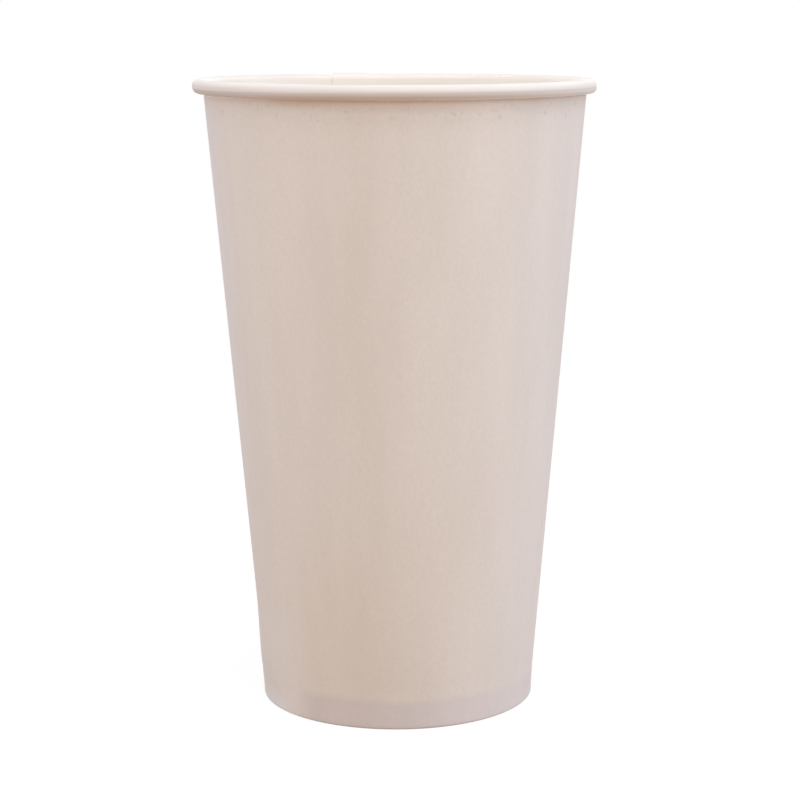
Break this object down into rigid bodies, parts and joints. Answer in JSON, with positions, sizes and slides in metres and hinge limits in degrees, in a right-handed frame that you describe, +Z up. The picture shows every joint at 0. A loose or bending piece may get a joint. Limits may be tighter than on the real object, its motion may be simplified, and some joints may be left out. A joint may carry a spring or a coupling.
{
  "type": "paper cup",
  "caption": "Tall plain single-wall paper cup with a rolled rim, a lapped side seam and a recessed base sealed into a folded foot, for hot or cold drinks.",
  "frame": {"origin": "centre of the foot, on the table", "axes": "+Z up along the cup's axis; the picture is seen along +Y, with +X to the right"},
  "size_m": [0.09, 0.09, 0.1407],
  "materials": {
    "wall_board": "uncoated matt paper outside, thin satin lining inside and over the rolled rim",
    "base_board": "thin satin lining on the upper face, uncoated matt paper below"
  },
  "bodies": {
    "root": {"side_wall": "wall_board", "base_disc": "base_board"}
  },
  "joints": []
}
